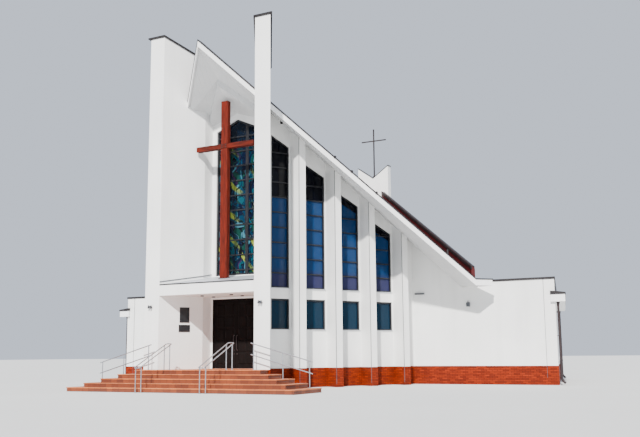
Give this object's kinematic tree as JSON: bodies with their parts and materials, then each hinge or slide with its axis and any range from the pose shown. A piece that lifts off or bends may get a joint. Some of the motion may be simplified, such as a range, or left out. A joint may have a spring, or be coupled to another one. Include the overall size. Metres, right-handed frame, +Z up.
{
  "type": "modern church building",
  "caption": "White rendered church with a steep prow roof, tall entrance fins, a timber cross over hinged double doors, windowed side walls with piers, low wings and front steps",
  "frame": {"origin": "on the ground, at the middle of the overall width and depth", "axes": "+X to the right along the entrance front, +Y back into the building, +Z up"},
  "size_m": [24.0662, 20.1794, 14.75],
  "materials": {
    "white_render": "matt white render",
    "roof_red": "satin dark red sheet",
    "dark_metal": "satin dark grey",
    "glass_blue": "blue tinted, glossy",
    "timber": "oiled red-brown timber",
    "door_wood": "dark stained, satin",
    "step_tile": "unglazed orange-brown tile",
    "steel": "brushed",
    "floor": "honed stone-coloured tile"
  },
  "bodies": {
    "building": {"verge_end_left": "white_render", "verge_end_right": "white_render", "entrance_fin_left": "white_render", "entrance_fin_right": "white_render", "side_wall_left": "white_render", "side_wall_right": "white_render", "soffit_left": "white_render", "soffit_right": "white_render", "rear_upper_wall_left": "white_render", "rear_upper_wall_right": "white_render", "wing_wall_left": "white_render", "wing_wall_right": "white_render", "front_wall_left": "white_render", "front_wall_right": "white_render", "wall_pier_left_1": "white_render", "wall_pier_left_2": "white_render", "wall_pier_left_3": "white_render", "wall_pier_left_4": "white_render", "wall_pier_right_1": "white_render", "wall_pier_right_2": "white_render", "wall_pier_right_3": "white_render", "wall_pier_right_4": "white_render", "front_wall_over_door": "white_render", "front_gable": "white_render", "porch_ceiling": "white_render", "door_canopy": "white_render", "rear_wall_left": "white_render", "rear_wall_right": "white_render", "bell_gable": "white_render", "main_roof_left": "roof_red", "main_roof_right": "roof_red", "rear_upstand_left": "roof_red", "rear_upstand_right": "roof_red", "wing_roof_left": "dark_metal", "wing_roof_right": "dark_metal", "side_eave_left": "dark_metal", "side_eave_right": "dark_metal", "metal_cross": "dark_metal", "upper_glass_left": "glass_blue", "upper_glass_right": "glass_blue", "lower_glass_left": "glass_blue", "lower_glass_right": "glass_blue", "entrance_glass": "glass_blue", "rear_glass": "glass_blue", "timber_cross": "timber", "door_frame": "door_wood", "porch_floor": "step_tile", "step_1": "step_tile", "step_2": "step_tile", "step_3": "step_tile", "step_4": "step_tile", "step_5": "step_tile", "front_rail_left": "steel", "front_rail_right": "steel", "side_rail_left": "steel", "side_rail_right": "steel", "floor_slab": "floor"},
    "door_left": {"door_leaf_left": "door_wood"},
    "door_right": {"door_leaf_right": "door_wood"}
  },
  "joints": [
    {"name": "door_left_hinge", "type": "hinge", "parent": "building", "child": "door_left", "pos_m": [-1.0637, -5.5803, 2.187], "axis": [0, 0, -1], "range_deg": [0, 90]},
    {"name": "door_right_hinge", "type": "hinge", "parent": "building", "child": "door_right", "pos_m": [1.0637, -5.5803, 2.187], "axis": [0, 0, 1], "range_deg": [0, 90]}
  ]
}
